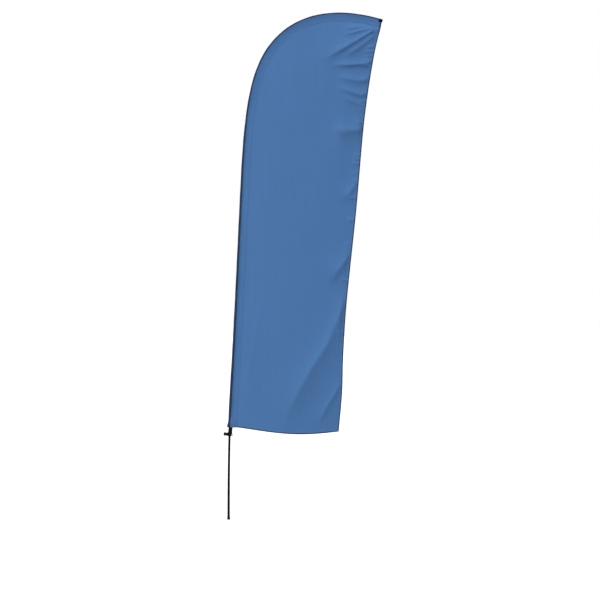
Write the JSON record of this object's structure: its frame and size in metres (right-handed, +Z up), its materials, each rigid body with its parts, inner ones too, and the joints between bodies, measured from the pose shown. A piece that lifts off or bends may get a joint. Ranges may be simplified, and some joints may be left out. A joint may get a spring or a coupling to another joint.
{
  "type": "feather flag",
  "caption": "Plain blue feather-shaped banner on a bent sectional pole, with a clamp collar and strap that tension the cloth, and a socket foot for a ground spindle.",
  "frame": {"origin": "centre of the pole's flat foot, which is also the mouth of its spindle socket", "axes": "+Z up along the foot of the pole, +X from the pole towards the cloth, and the front of the flag faces -Y"},
  "size_m": [0.88, 0.0414, 2.7991],
  "materials": {
    "cloth": "matte",
    "sleeve": "matte",
    "binding": "matte",
    "webbing": "matte",
    "fibreglass": "satin",
    "ferrule_metal": "satin",
    "ring_wire": "satin",
    "nylon": "satin",
    "rubber": "matte",
    "zinc_steel": "satin"
  },
  "bodies": {
    "flag": {"base_section": "fibreglass", "lower_section": "fibreglass", "upper_section": "fibreglass", "tip_section": "fibreglass", "foot_ring": "ferrule_metal", "lower_ferrule": "ferrule_metal", "middle_ferrule": "ferrule_metal", "upper_ferrule": "ferrule_metal", "tip_cap": "nylon", "pole_sleeve": "sleeve", "sleeve_cuff": "sleeve", "luff_tape": "binding", "tip_pocket": "webbing", "flag_panel": "cloth", "edge_binding": "binding", "foot_binding": "binding", "tension_strap": "webbing"},
    "collar": {"clamp_collar": "nylon", "collar_liner": "rubber", "clamp_nut": "zinc_steel", "strap_ring": "ring_wire"},
    "pad": {"pressure_pad": "nylon"},
    "thumb_screw": {"screw_stud": "zinc_steel", "thumb_knob": "nylon"}
  },
  "joints": [
    {"name": "collar_slide", "type": "slide", "parent": "flag", "child": "collar", "axis": [0.0278, 0, 0.9996], "range_m": [-0.006, 0.024], "deforming": ["tension_strap"]},
    {"name": "pad_slide", "type": "slide", "parent": "collar", "child": "pad", "axis": [-0.9996, 0, 0.0278], "range_m": [0, 0.0025]},
    {"name": "knob_turn", "type": "hinge", "parent": "pad", "child": "thumb_screw", "pos_m": [0.00516, 0, 0.47196], "axis": [-0.9996, 0, 0.0278], "range_deg": [0, 900]}
  ],
  "couplings": [
    {"joint": "pad_slide", "follows": "knob_turn", "m_per_rad": 0.00015915}
  ]
}
